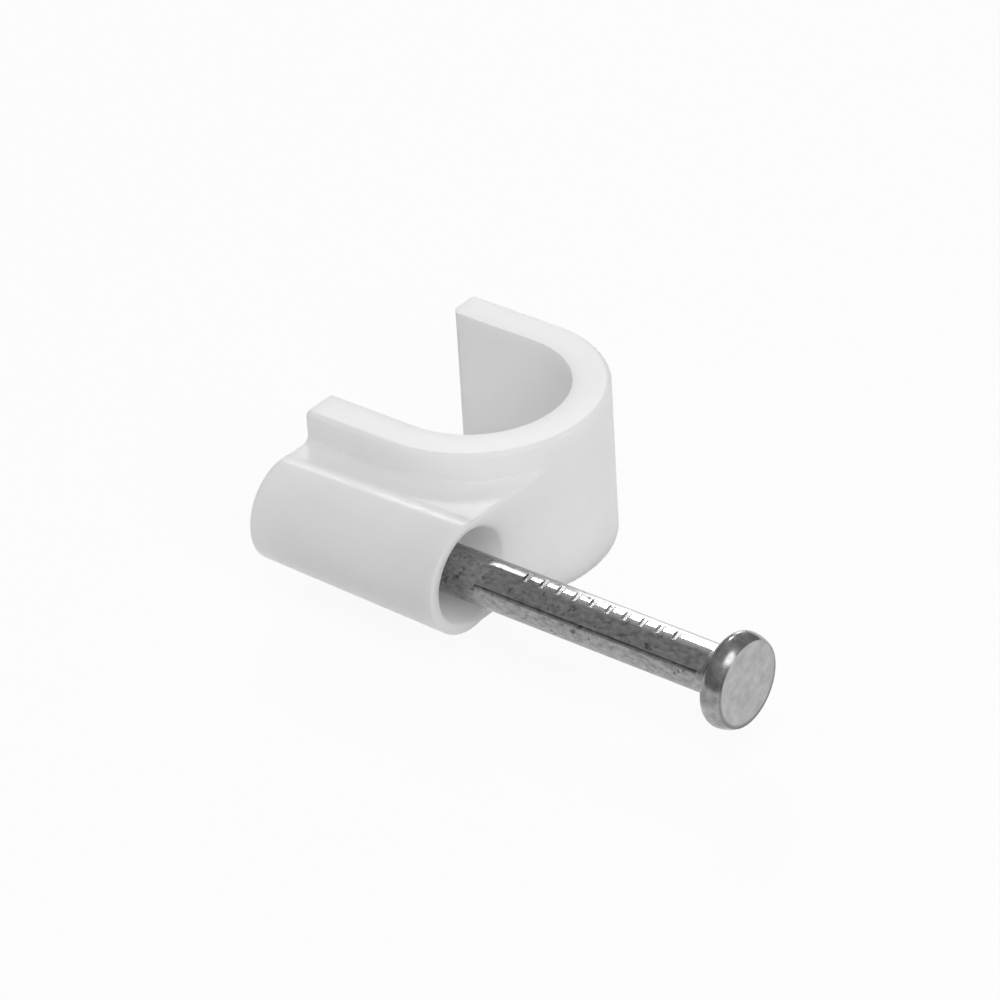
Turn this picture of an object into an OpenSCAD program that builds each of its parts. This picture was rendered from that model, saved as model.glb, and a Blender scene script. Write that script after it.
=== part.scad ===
// Round cable clip with its nail, shown with the cable's axis upright.
// The wall is the plane y = 0 and the nail lies along the line x = 0, z = 0, its point towards +Y.

/* [Cable seat] */
// Diameter of the cable that the hook closes round
cable_d = 7.7; // [6.5:0.1:9]
// Straight length of both arms, from the wall to the bend
arm_straight = 4.25; // [3.5:0.05:5.5]

/* [Hook] */
// Thickness of the hook's wall
hook_wall = 1.55; // [1.3:0.05:2]
// Height of the clip along the cable
clip_h = 7; // [6.2:0.1:9]
// Radius on the hook's outer top and bottom edges
hook_edge_r = 0.2; // [0.1:0.05:0.4]
// Radius on the two corners at the free arm's end
arm_end_r = 0.35; // [0.2:0.05:0.6]

/* [Nail boss] */
// Radius of the boss at its end face
boss_r = 2.4; // [2.3:0.05:2.6]
// How much smaller that radius is at the wall
boss_taper = 0.18; // [0.05:0.01:0.2]
// How far the flats beside the hook lie below the top of the boss
web_drop = 0.05; // [0.03:0.01:0.2]
// Distance of the boss's centre from the nail's axis, away from the hook
boss_shift = 0.1; // [0:0.05:0.3]
// Distance from the nail's axis to the near arm's outer face
nail_to_arm = 1.5; // [1.2:0.05:1.9]
// How far the boss's end face stays short of the hook's crown
crown_step = 0.35; // [0.2:0.05:0.6]
// Radius on the edge round the boss's end face
boss_edge_r = 0.15; // [0.1:0.05:0.2]
// Radius of the fillet at the foot of the hook on the boss's flats
foot_r = 0.3; // [0.15:0.05:0.4]
// Radius of the blend from the boss's end face into the bend
blend_r = 8; // [5:0.5:10]

/* [Nail hole] */
// How much the radius of the hole's mouth exceeds that of the head
mouth_room = 0.03; // [0:0.01:0.1]
// Radius on the edge of the mouth, where the driven head seats
mouth_edge_r = 0.2; // [0.1:0.01:0.22]
// Room round the shank in the gripping length of the hole
grip_room = 0.03; // [0.02:0.01:0.08]
// Length of the hole that grips the shank
grip_l = 3; // [2:0.1:3.5]
// Room round the shank at the wall
wall_room = 0.15; // [0.1:0.01:0.3]

/* [Nail] */
// Diameter of the shank
shank_d = 2; // [1.8:0.05:2.1]
// Length of the nail over all
nail_l = 22; // [20:0.5:26]
// How deep the point lies behind the wall plane
point_back = 0.45; // [0.2:0.05:1]
// Length of the four-sided point
point_l = 2.6; // [2:0.1:3]
// Diameter of the head at its widest, round the rim
head_d = 3.88; // [3.6:0.02:3.94]
// Diameter of the head's struck face
face_d = 3.54; // [3.3:0.02:3.58]
// Thickness of the head
head_t = 1.05; // [0.9:0.05:1.2]
// How far the head sits off the shank's axis
head_drop = 0.08; // [0:0.01:0.1]

/* [Die marks] */
// Depth of the two flats that the dies press into the shank
flat_depth = 0.14; // [0.05:0.01:0.2]
// Direction of the first flat round the shank
flat_angle = 128; // [90:1:150]
// Slant of the end of a flat that is nearer the boss
flat_slant = 21; // [0:1:30]
// Slope on which that end runs out
flat_runout = 16; // [12:1:45]
// Width of the seam along the lower edge of each flat
seam_w = 0.2; // [0.1:0.01:0.24]
// Number of notches across the upper edge of each flat
notch_n = 10; // [6:1:12]
// Spacing of the notches along the shank
notch_pitch = 0.79; // [0.6:0.01:0.85]
// Depth of a notch below the edge of the flat
notch_depth = 0.08; // [0.06:0.01:0.15]
// Length of the level floor of a notch
notch_l = 0.2; // [0.15:0.01:0.3]
// Length over which a notch rises from its floor towards the head
notch_rise = 0.12; // [0.1:0.01:0.25]
// Turn of the notches from the edge of the flat towards its middle
notch_lean = 1; // [0:1:6]

/* [Hidden] */
$fn = 96;
// Overrun of a cutting shape past the face it cuts
cut = 1;

// Hook, seen along the cable
seat_r = cable_d / 2;
hook_r = seat_r + hook_wall;
seat_x = nail_to_arm + hook_r;
far_x = seat_x + hook_r;

// Boss, measured from the wall along the nail
boss_l = arm_straight + hook_r - crown_step;
web_h = boss_r - web_drop;
taper_turn = atan(boss_taper / boss_l);
blend_bite = hook_wall / 100;
blend_dn = boss_l + blend_r - arm_straight - blend_bite;
blend_dx = sqrt(pow(hook_r + blend_r - blend_bite, 2) - pow(blend_dn, 2));
blend_x = seat_x - blend_dx;
blend_share = blend_r / (hook_r + blend_r);
blend_turn = 60;
fade_r = hook_r - foot_r * 2.4;
fade_turn = 60;

// Nail, measured from the wall towards the head
shank_r = shank_d / 2;
head_r = head_d / 2;
head_top = point_back + nail_l;
head_under = head_top - head_t;
face_r = face_d / 2;
rim_under_r = head_t * 0.43;
rim_n = head_under + rim_under_r;
rim_h = head_top - rim_n;
rim_in = head_r - face_r;
rim_r = (pow(rim_h, 2) + pow(rim_in, 2)) / (2 * rim_in);
neck_l = shank_r * 0.35;
neck_r = shank_r + neck_l;
tip_w = shank_r * 0.12;
point_slope = atan((shank_r - tip_w) / point_l);
flat_from = boss_l + shank_r;
flat_to = head_under - neck_l * 1.3;
flat_half = acos((shank_r - flat_depth) / shank_r);
seam_from = flat_from - shank_r * tan(flat_slant) * sin(flat_half);
notch_from = (flat_from + flat_to - notch_pitch * (notch_n - 1) - notch_l) / 2;
notch_level = shank_r * cos(notch_lean);

// Nail hole, measured from the wall towards the head
mouth_r = head_r + mouth_room;
grip_from = point_back + point_l;
grip_to = grip_from + grip_l;
lead_l = wall_room * 2;

// What a rounding of radius r takes off the corner at the origin, whose solid lies at -x, -y
module corner_off(r) {
  difference() {
    translate([-r, -r])
      square([r + cut, r + cut]);
    translate([-r, -r])
      circle(r);
    translate([-r - cut, -r - cut])
      square([cut, 2 * cut + r]);
    translate([-r - cut, -r - cut])
      square([2 * cut + r, cut]);
  }
}

// Hollow corner of radius r at the origin, filling towards +x, +y
module corner_fill(r) {
  difference() {
    translate([-r, -r])
      square(2 * r);
    translate([r, r])
      circle(r);
  }
}

// Section through the hook's wall, x from the seat's centre and y along the cable
module hook_section() {
  difference() {
    translate([seat_r, -clip_h / 2])
      square([hook_wall, clip_h]);
    for (side = [0, 1])
      mirror([0, side])
        translate([hook_r, clip_h / 2])
          corner_off(hook_edge_r);
  }
}

// Two straight arms and the half-round bend between them
module hook() {
  translate([seat_x, 0, 0]) {
    translate([0, -arm_straight, 0])
      rotate([0, 0, 180])
        rotate_extrude(angle = 180)
          hook_section();
    for (side = [0, 1])
      mirror([side, 0, 0])
        rotate([90, 0, 0])
          linear_extrude(arm_straight)
            hook_section();
  }
}

// Round of the boss about its own axis, narrowing towards the wall
module boss_round() {
  translate([-boss_shift, 0, 0])
    rotate([90, 0, 0])
      rotate_extrude()
        difference() {
          polygon([[0, 0], [boss_r - boss_taper, 0], [boss_r, boss_l], [0, boss_l]]);
          translate([boss_r, boss_l])
            corner_off(boss_edge_r);
        }
}

// Side of the web, x from the end face towards the wall; it reaches on past the end face for the blend
module web_side() {
  polygon([
    [-hook_wall, web_h + hook_wall * tan(taper_turn)],
    [boss_l, web_h - boss_taper],
    [boss_l, boss_taper - web_h],
    [-hook_wall, -web_h - hook_wall * tan(taper_turn)]
  ]);
}

// Flat-sided web that carries the round of the boss over to the hook
module boss_web() {
  translate([-boss_shift, 0, 0])
    rotate([90, 0, 90])
      linear_extrude(seat_x + boss_shift)
        difference() {
          intersection() {
            translate([-boss_l, 0])
              web_side();
            translate([-boss_l, -boss_r])
              square([boss_l, 2 * boss_r]);
          }
          for (side = [0, 1])
            mirror([0, side])
              translate([-boss_l, web_h])
                mirror([1, 0])
                  corner_off(boss_edge_r);
        }
}

// Hollow blend between the boss's end face and the bend, seen along the cable
module end_blend() {
  translate([blend_x, -arm_straight - blend_dn, 0])
    difference() {
      intersection() {
        translate([0, 0, -boss_r])
          linear_extrude(2 * boss_r)
            difference() {
              polygon([
                [0, blend_r],
                [blend_dx * blend_share, blend_dn * blend_share],
                [blend_dx * blend_share, blend_r + hook_wall / 2],
                [0, blend_r + hook_wall / 2]
              ]);
              circle(blend_r, $fn = 360);
            }
        translate([-cut, arm_straight + blend_dn - boss_l, 0])
          rotate([90, 0, 90])
            linear_extrude(blend_dx + 2 * cut)
              web_side();
      }
      for (side = [0, 1])
        mirror([0, 0, side])
          rotate([0, 0, 90 - blend_turn / 2])
            rotate_extrude(angle = blend_turn)
              translate([blend_r, web_h])
                mirror([1, 0])
                  corner_off(boss_edge_r);
    }
}

// Fillets where the hook rises from the two flats of the web, ended at the wall and fading out along the bend
module foot_fillets() {
  intersection() {
    for (side = [0, 1])
      mirror([0, 0, side])
        translate([nail_to_arm, 0, web_h - boss_taper])
          rotate([-taper_turn, 0, 0]) {
            translate([0, foot_r, 0])
              rotate([90, 0, 0])
                linear_extrude(arm_straight + foot_r)
                  mirror([1, 0])
                    corner_fill(foot_r);
            translate([fade_r, -arm_straight, 0])
              rotate([0, 0, 180])
                rotate_extrude(angle = fade_turn)
                  translate([fade_r, 0])
                    corner_fill(foot_r);
          }
    translate([nail_to_arm - hook_r, -boss_l, -clip_h])
      cube([2 * hook_r, boss_l, 2 * clip_h]);
  }
}

// Space that the cable lies in, open to the wall
module cable_space() {
  translate([seat_x, -arm_straight, -clip_h / 2 - cut])
    cylinder(h = clip_h + 2 * cut, r = seat_r);
  translate([seat_x - seat_r, -arm_straight, -clip_h / 2 - cut])
    cube([cable_d, arm_straight + cut, clip_h + 2 * cut]);
}

// Hole for the nail: clear at the wall, then the grip and a long funnel with a rounded mouth
module nail_hole() {
  rotate([90, 0, 0])
    rotate_extrude() {
      polygon([
        [0, -cut],
        [shank_r + wall_room, -cut],
        [shank_r + wall_room, grip_from - lead_l],
        [shank_r + grip_room, grip_from],
        [shank_r + grip_room, grip_to],
        [mouth_r, boss_l - mouth_edge_r],
        [mouth_r, boss_l + cut],
        [0, boss_l + cut]
      ]);
      translate([mouth_r, boss_l])
        mirror([1, 0])
          corner_off(mouth_edge_r);
    }
}

// Rounded upright corners at the end of the free arm
module free_arm_corners() {
  for (corner = [[far_x, 0], [far_x - hook_wall, 1]])
    translate([corner[0], 0, -clip_h / 2 - cut])
      mirror([corner[1], 0, 0])
        linear_extrude(clip_h + 2 * cut)
          corner_off(arm_end_r);
}

module clip() {
  color("whitesmoke")
    difference() {
      union() {
        hook();
        boss_round();
        boss_web();
        end_blend();
        foot_fillets();
      }
      cable_space();
      nail_hole();
      free_arm_corners();
    }
}

// Half section of the head with its neck, x outwards and y from the wall towards the face
module head_section() {
  polygon([[0, head_under - neck_l], [shank_r, head_under - neck_l], [neck_r, head_under], [0, head_under]]);
  difference() {
    translate([0, head_under])
      square([head_r, rim_under_r]);
    translate([head_r, head_under])
      mirror([0, 1])
        corner_off(rim_under_r);
  }
  intersection() {
    translate([0, rim_n])
      square([head_r, rim_h]);
    translate([head_r - rim_r, rim_n])
      circle(rim_r, $fn = 180);
  }
}

// Four sloping faces cut to the point
module point_cuts() {
  for (turn = [0 : 90 : 270])
    rotate([0, 0, turn])
      translate([tip_w, 0, point_back])
        rotate([0, point_slope, 0])
          translate([0, -shank_d, -shank_d])
            cube([shank_d, 2 * shank_d, point_l + 2 * shank_d]);
}

// Flat pressed by one die, its end at the boss slanted and running out on a slope
module die_flat() {
  rotate([0, 0, flat_angle])
    intersection() {
      translate([shank_r - flat_depth, 0, flat_from])
        rotate([-flat_slant, 0, 0])
          rotate([90, 0, 0])
            translate([0, 0, -nail_l])
              linear_extrude(2 * nail_l)
                polygon([[0, 0], [shank_r, -shank_r / tan(flat_runout)], [shank_r, nail_l], [0, nail_l]]);
      translate([0, -shank_d, 0])
        cube([2 * shank_d, 2 * shank_d, flat_to]);
    }
}

// Notches across the upper edge of a flat, each with its steep side facing the head
module notch_row() {
  rotate([0, 0, flat_angle - flat_half + notch_lean])
    for (i = [0 : notch_n - 1])
      translate([notch_level, shank_r, notch_from + i * notch_pitch])
        rotate([90, 0, 0])
          linear_extrude(shank_d)
            polygon([
              [-notch_depth, 0],
              [notch_depth, 0],
              [notch_depth, notch_l + 2 * notch_rise],
              [-notch_depth, notch_l]
            ]);
}

// Seam along the lower edge of a flat
module die_seam() {
  rotate([0, 0, flat_angle + flat_half])
    translate([shank_r - seam_w / 2, 0, seam_from])
      rotate([0, 0, -45])
        cube([seam_w / sqrt(2), seam_w / sqrt(2), flat_to - seam_w - seam_from]);
}

module nail() {
  color("silver")
    rotate([90, 0, 0])
      difference() {
        union() {
          translate([0, 0, point_back])
            cylinder(h = nail_l - head_t, r = shank_r);
          translate([0, -head_drop, 0])
            rotate_extrude()
              head_section();
        }
        point_cuts();
        for (turn = [0, 180])
          rotate([0, 0, turn]) {
            die_flat();
            notch_row();
            die_seam();
          }
      }
}

clip();
nail();
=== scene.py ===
import bpy
from mathutils import Matrix, Quaternion, Vector


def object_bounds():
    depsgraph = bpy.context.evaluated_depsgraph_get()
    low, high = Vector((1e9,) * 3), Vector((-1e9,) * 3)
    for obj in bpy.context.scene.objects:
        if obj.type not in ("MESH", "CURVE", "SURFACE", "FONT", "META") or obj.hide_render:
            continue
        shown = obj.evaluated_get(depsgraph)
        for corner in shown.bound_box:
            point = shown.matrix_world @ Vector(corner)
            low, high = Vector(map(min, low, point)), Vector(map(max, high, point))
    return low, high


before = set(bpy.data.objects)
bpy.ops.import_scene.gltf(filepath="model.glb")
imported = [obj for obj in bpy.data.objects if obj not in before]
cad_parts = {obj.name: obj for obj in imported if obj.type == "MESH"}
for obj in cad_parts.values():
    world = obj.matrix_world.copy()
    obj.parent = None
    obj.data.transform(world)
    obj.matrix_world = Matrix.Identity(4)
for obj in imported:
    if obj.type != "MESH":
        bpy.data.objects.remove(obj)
cad_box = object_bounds()

# Clip: one piece of natural white polyethylene, moulded in a two-part tool that leaves
# a shiny, beaded line along the boss. The plastic is a little translucent under a satin skin
# and faintly clouded where the melt cooled, so its edges glow and no broad face is one tone.
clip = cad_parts["clip"]


def new_finish(name):
    finish = bpy.data.materials.new(name)
    finish.use_nodes = True
    return finish


clip_plastic = new_finish("clip_plastic_moulded")
plastic = clip_plastic.node_tree
skin = plastic.nodes["Principled BSDF"]
skin.inputs["Subsurface Weight"].default_value = 0.85
skin.inputs["Subsurface Radius"].default_value = (1.0, 1.0, 1.0)
skin.inputs["Subsurface Scale"].default_value = 0.002
skin.inputs["Specular IOR Level"].default_value = 0.14
skin.inputs["Coat Roughness"].default_value = 0.31
place = plastic.nodes.new("ShaderNodeTexCoord").outputs["Object"]


def mottle(tree, place, scale, detail=2.0, roughness=0.5):
    noise = tree.nodes.new("ShaderNodeTexNoise")
    noise.inputs["Scale"].default_value = scale
    noise.inputs["Detail"].default_value = detail
    noise.inputs["Roughness"].default_value = roughness
    tree.links.new(place, noise.inputs["Vector"])
    return noise.outputs["Fac"]


def grey(level):
    return (level, level, level, 1.0)


def grey_tones(tree, value, dark_at, dark, light_at, light):
    tones = tree.nodes.new("ShaderNodeValToRGB")
    tones.color_ramp.elements[0].position = dark_at
    tones.color_ramp.elements[0].color = grey(dark)
    tones.color_ramp.elements[1].position = light_at
    tones.color_ramp.elements[1].color = grey(light)
    tree.links.new(value, tones.inputs["Fac"])
    return tones.outputs["Color"]


clouding = mottle(plastic, place, scale=320.0, detail=3.0)
cloud_white = grey_tones(plastic, clouding, dark_at=0.3, dark=0.91, light_at=0.7, light=0.95)
plastic.links.new(cloud_white, skin.inputs["Base Color"])


def fade(tree, value, start=0.0, end=1.0, low=0.0, high=1.0, ease="LINEAR"):
    span = tree.nodes.new("ShaderNodeMapRange")
    span.interpolation_type = ease
    span.inputs["From Min"].default_value = start
    span.inputs["From Max"].default_value = end
    span.inputs["To Min"].default_value = low
    span.inputs["To Max"].default_value = high
    tree.links.new(value, span.inputs["Value"])
    return span.outputs["Result"]


def relief(tree, height, strength, depth):
    bump = tree.nodes.new("ShaderNodeBump")
    bump.inputs["Strength"].default_value = strength
    bump.inputs["Distance"].default_value = depth
    tree.links.new(height, bump.inputs["Height"])
    return bump.outputs["Normal"]


skin_grain = mottle(plastic, place, scale=5200.0)
skin_gloss = fade(plastic, skin_grain, low=0.27, high=0.35)
plastic.links.new(skin_gloss, skin.inputs["Roughness"])
skin_relief = relief(plastic, skin_grain, strength=0.12, depth=0.00003)
plastic.links.new(skin_relief, skin.inputs["Normal"])


def split(tree, place):
    parts = tree.nodes.new("ShaderNodeSeparateXYZ")
    tree.links.new(place, parts.inputs["Vector"])
    return parts.outputs


def reckon(tree, operation, first, second=0.0):
    step = tree.nodes.new("ShaderNodeMath")
    step.operation = operation
    for socket, value in zip(step.inputs, (first, second)):
        if isinstance(value, float):
            socket.default_value = value
        else:
            tree.links.new(value, socket)
    return step.outputs["Value"]


tool_joint_x = -0.00017
tool_joint_half_width = 0.00018
off_joint = reckon(plastic, "SUBTRACT", split(plastic, place)["X"], tool_joint_x)
joint_gap = reckon(plastic, "ABSOLUTE", off_joint)
tool_joint = fade(plastic, joint_gap, start=tool_joint_half_width, end=0.0, ease="SMOOTHSTEP")
beads = mottle(plastic, place, scale=2800.0)
bead_shine = fade(plastic, beads, start=0.35, end=0.6, low=0.06, high=0.6)
joint_shine = reckon(plastic, "MULTIPLY", tool_joint, bead_shine)
plastic.links.new(joint_shine, skin.inputs["Coat Weight"])


def dress(piece, finish):
    piece.data.materials.clear()
    piece.data.materials.append(finish)


dress(clip, clip_plastic)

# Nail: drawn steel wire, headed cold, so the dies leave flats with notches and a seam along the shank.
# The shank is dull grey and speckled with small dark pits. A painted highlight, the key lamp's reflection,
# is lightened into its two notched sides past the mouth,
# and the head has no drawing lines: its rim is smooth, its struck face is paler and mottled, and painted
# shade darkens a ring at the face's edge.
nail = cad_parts["nail"]
struck_face_y = cad_box[0][1]
struck_face_depth = 0.0001
head_depth = 0.00105
neck_depth = 0.00145
highlight_start_depth = 0.01065
highlight_full_depth = 0.00795
notched_side_start = 0.00084
notched_side_full = 0.00096
face_edge_start = 0.00165
face_edge_full = 0.00175


def blend(tree, kind, mask, base, other):
    mix = tree.nodes.new("ShaderNodeMix")
    mix.data_type = kind
    tree.links.new(mask, mix.inputs["Factor"])
    tree.links.new(base, mix.inputs["A"])
    if isinstance(other, tuple):
        mix.inputs["B"].default_value = other
    else:
        tree.links.new(other, mix.inputs["B"])
    return mix.outputs["Result"]


nail_steel = new_finish("nail_steel_drawn")
wire = nail_steel.node_tree
steel = wire.nodes["Principled BSDF"]
steel.inputs["Metallic"].default_value = 1.0
place = wire.nodes.new("ShaderNodeTexCoord").outputs["Object"]
along = split(wire, place)
on_head = fade(wire, along["Y"], start=struck_face_y + neck_depth, end=struck_face_y + head_depth)
on_face = fade(wire, along["Y"], start=struck_face_y + struck_face_depth, end=struck_face_y)
on_shank = reckon(wire, "SUBTRACT", 1.0, on_head)

drawn_place = wire.nodes.new("ShaderNodeMapping")
drawn_place.inputs["Scale"].default_value = (6500.0, 3200.0, 6500.0)
wire.links.new(place, drawn_place.inputs["Vector"])
drawing = mottle(wire, drawn_place.outputs["Vector"], scale=1.0, detail=5.0, roughness=0.65)
blotches = mottle(wire, place, scale=1900.0, detail=5.0, roughness=0.62)
steel_grain = blend(wire, "FLOAT", on_head, drawing, blotches)
shank_grey = grey_tones(wire, steel_grain, dark_at=0.35, dark=0.23, light_at=0.65, light=0.42)
face_grey = grey_tones(wire, blotches, dark_at=0.25, dark=0.33, light_at=0.7, light=0.5)
bare_steel = blend(wire, "RGBA", on_face, shank_grey, face_grey)

# Painted highlight: the notched sides past the mouth are lightened to a pale grey where the key lamp's
# reflection runs along the shank.
off_middle = reckon(wire, "ABSOLUTE", along["Z"])
notched_side = fade(wire, off_middle, start=notched_side_start, end=notched_side_full)
highlight_past_mouth = fade(
    wire,
    along["Y"],
    start=struck_face_y + highlight_start_depth,
    end=struck_face_y + highlight_full_depth,
    high=0.85,
)
highlight_side = reckon(wire, "MULTIPLY", notched_side, highlight_past_mouth)
highlight_on_shank = reckon(wire, "MULTIPLY", highlight_side, on_shank)
highlighted_steel = blend(wire, "RGBA", highlight_on_shank, bare_steel, grey(0.8))

pits = mottle(wire, place, scale=2700.0, detail=3.0, roughness=0.6)
shank_pits = reckon(wire, "MULTIPLY", fade(wire, pits, start=0.6, end=0.72, high=0.85), on_shank)
pitted_steel = blend(wire, "RGBA", shank_pits, highlighted_steel, grey(0.06))

flat_place = wire.nodes.new("ShaderNodeVectorMath")
flat_place.operation = "MULTIPLY"
flat_place.inputs[1].default_value = (1.0, 0.0, 1.0)
wire.links.new(place, flat_place.inputs[0])
off_axis = wire.nodes.new("ShaderNodeVectorMath")
off_axis.operation = "LENGTH"
wire.links.new(flat_place.outputs["Vector"], off_axis.inputs[0])
# Painted shade: a dark ring just inside the struck face's edge, where the rim turns away from the light.
near_edge = fade(wire, off_axis.outputs["Value"], start=face_edge_start, end=face_edge_full, high=0.7)
face_edge_shade = reckon(wire, "MULTIPLY", near_edge, on_face)
edge_shaded_steel = blend(wire, "RGBA", face_edge_shade, pitted_steel, grey(0.12))
wire.links.new(edge_shaded_steel, steel.inputs["Base Color"])

shank_gloss = fade(wire, blotches, low=0.26, high=0.4)
head_gloss = fade(wire, blotches, low=0.18, high=0.28)
wire.links.new(blend(wire, "FLOAT", on_head, shank_gloss, head_gloss), steel.inputs["Roughness"])
wire.links.new(relief(wire, steel_grain, strength=0.2, depth=0.00002), steel.inputs["Normal"])
dress(nail, nail_steel)

# Floor: a plain pale sheet under the clip's lower side, wide enough to fill the view.
# Its paper is near white, and most of the white it shows the lens is its own, so the shadow on it is faint.
floor_width = 3.0
own_white = 0.92
bpy.ops.object.select_all(action="DESELECT")
bpy.ops.mesh.primitive_plane_add(size=floor_width, location=(0.0, 0.0, cad_box[0][2]))
floor = bpy.context.active_object
floor.name = "floor"
bpy.ops.object.transform_apply(location=True, rotation=True, scale=True)
floor_paper = new_finish("floor_paper")
sheet = floor_paper.node_tree
paper = sheet.nodes["Principled BSDF"]
paper.inputs["Base Color"].default_value = grey(0.93)
paper.inputs["Roughness"].default_value = 0.9
paper.inputs["Specular IOR Level"].default_value = 0.1
white = sheet.nodes.new("ShaderNodeEmission")
rays = sheet.nodes.new("ShaderNodeLightPath").outputs
seen = reckon(sheet, "MAXIMUM", rays["Is Camera Ray"], rays["Is Glossy Ray"])
lit_sheet = sheet.nodes.new("ShaderNodeMixShader")
sheet.links.new(reckon(sheet, "MULTIPLY", seen, own_white), lit_sheet.inputs["Fac"])
sheet.links.new(paper.outputs["BSDF"], lit_sheet.inputs[1])
sheet.links.new(white.outputs["Emission"], lit_sheet.inputs[2])
sheet.links.new(lit_sheet.outputs["Shader"], sheet.nodes["Material Output"].inputs["Surface"])
dress(floor, floor_paper)

# Light: a grey room with a small lamp behind and above the clip, which draws the hook's shadow on the boss,
# soft lamps before it and overhead, and a low one behind that lights the nail's upper side.
room = bpy.data.worlds.new("room")
bpy.context.scene.world = room
room.use_nodes = True
air = room.node_tree
height = split(air, air.nodes.new("ShaderNodeTexCoord").outputs["Generated"])["Z"]
walls = grey_tones(air, height, dark_at=0.0, dark=0.23, light_at=0.7, light=0.4)
air.links.new(walls, air.nodes["Background"].inputs["Color"])
lamp_aim = Vector((0.004, -0.008, 0.0))
lamp_reach = 0.3


def hang_lamp(name, toward, width, depth, energy, turn=0.0):
    bpy.ops.object.light_add(type="AREA", location=lamp_aim + lamp_reach * Vector(toward))
    lamp = bpy.context.active_object
    lamp.name = name
    lamp.data.shape = "ELLIPSE"
    lamp.data.size = width
    lamp.data.size_y = depth
    lamp.data.energy = energy
    facing = (lamp_aim - lamp.location).to_track_quat("-Z", "Y")
    lamp.rotation_euler = (facing @ Quaternion((0.0, 0.0, 1.0), turn)).to_euler()


hang_lamp("key_lamp", toward=(0.615, 0.525, 0.59), width=0.05, depth=0.05, energy=0.128)
hang_lamp("front_lamp", toward=(-0.36, -0.75, 0.55), width=0.14, depth=0.14, energy=0.24)
hang_lamp("top_lamp", toward=(-0.2, -0.25, 0.94), width=0.19, depth=0.11, energy=0.155, turn=0.77)
hang_lamp("back_lamp", toward=(0.83, 0.54, 0.15), width=0.09, depth=0.09, energy=0.065)

# Camera: a long lens at the photograph's angle, before the nail's head and above the clip.
# It stands level along the picture's width and is then turned a little about its own axis.
camera_data = bpy.data.cameras.new("camera")
camera = bpy.data.objects.new("camera", camera_data)
bpy.context.scene.collection.objects.link(camera)
camera_data.lens = 209.25
camera_data.sensor_width = 36.0
camera_place = Vector((-0.143257, -0.13079, 0.123493))
camera_roll = -0.06167
level_right = Vector((0.6417, -0.7669, 0.0)).normalized()
level_up = Vector((0.4131, 0.3457, 0.8425)).normalized()
camera_back = level_right.cross(level_up)
rolled = Matrix.Rotation(camera_roll, 3, camera_back)
camera_axes = Matrix((rolled @ level_right, rolled @ level_up, camera_back)).transposed().to_4x4()
camera_axes.translation = camera_place
camera.matrix_world = camera_axes
bpy.context.scene.camera = camera

bpy.context.scene.view_settings.view_transform = "Standard"
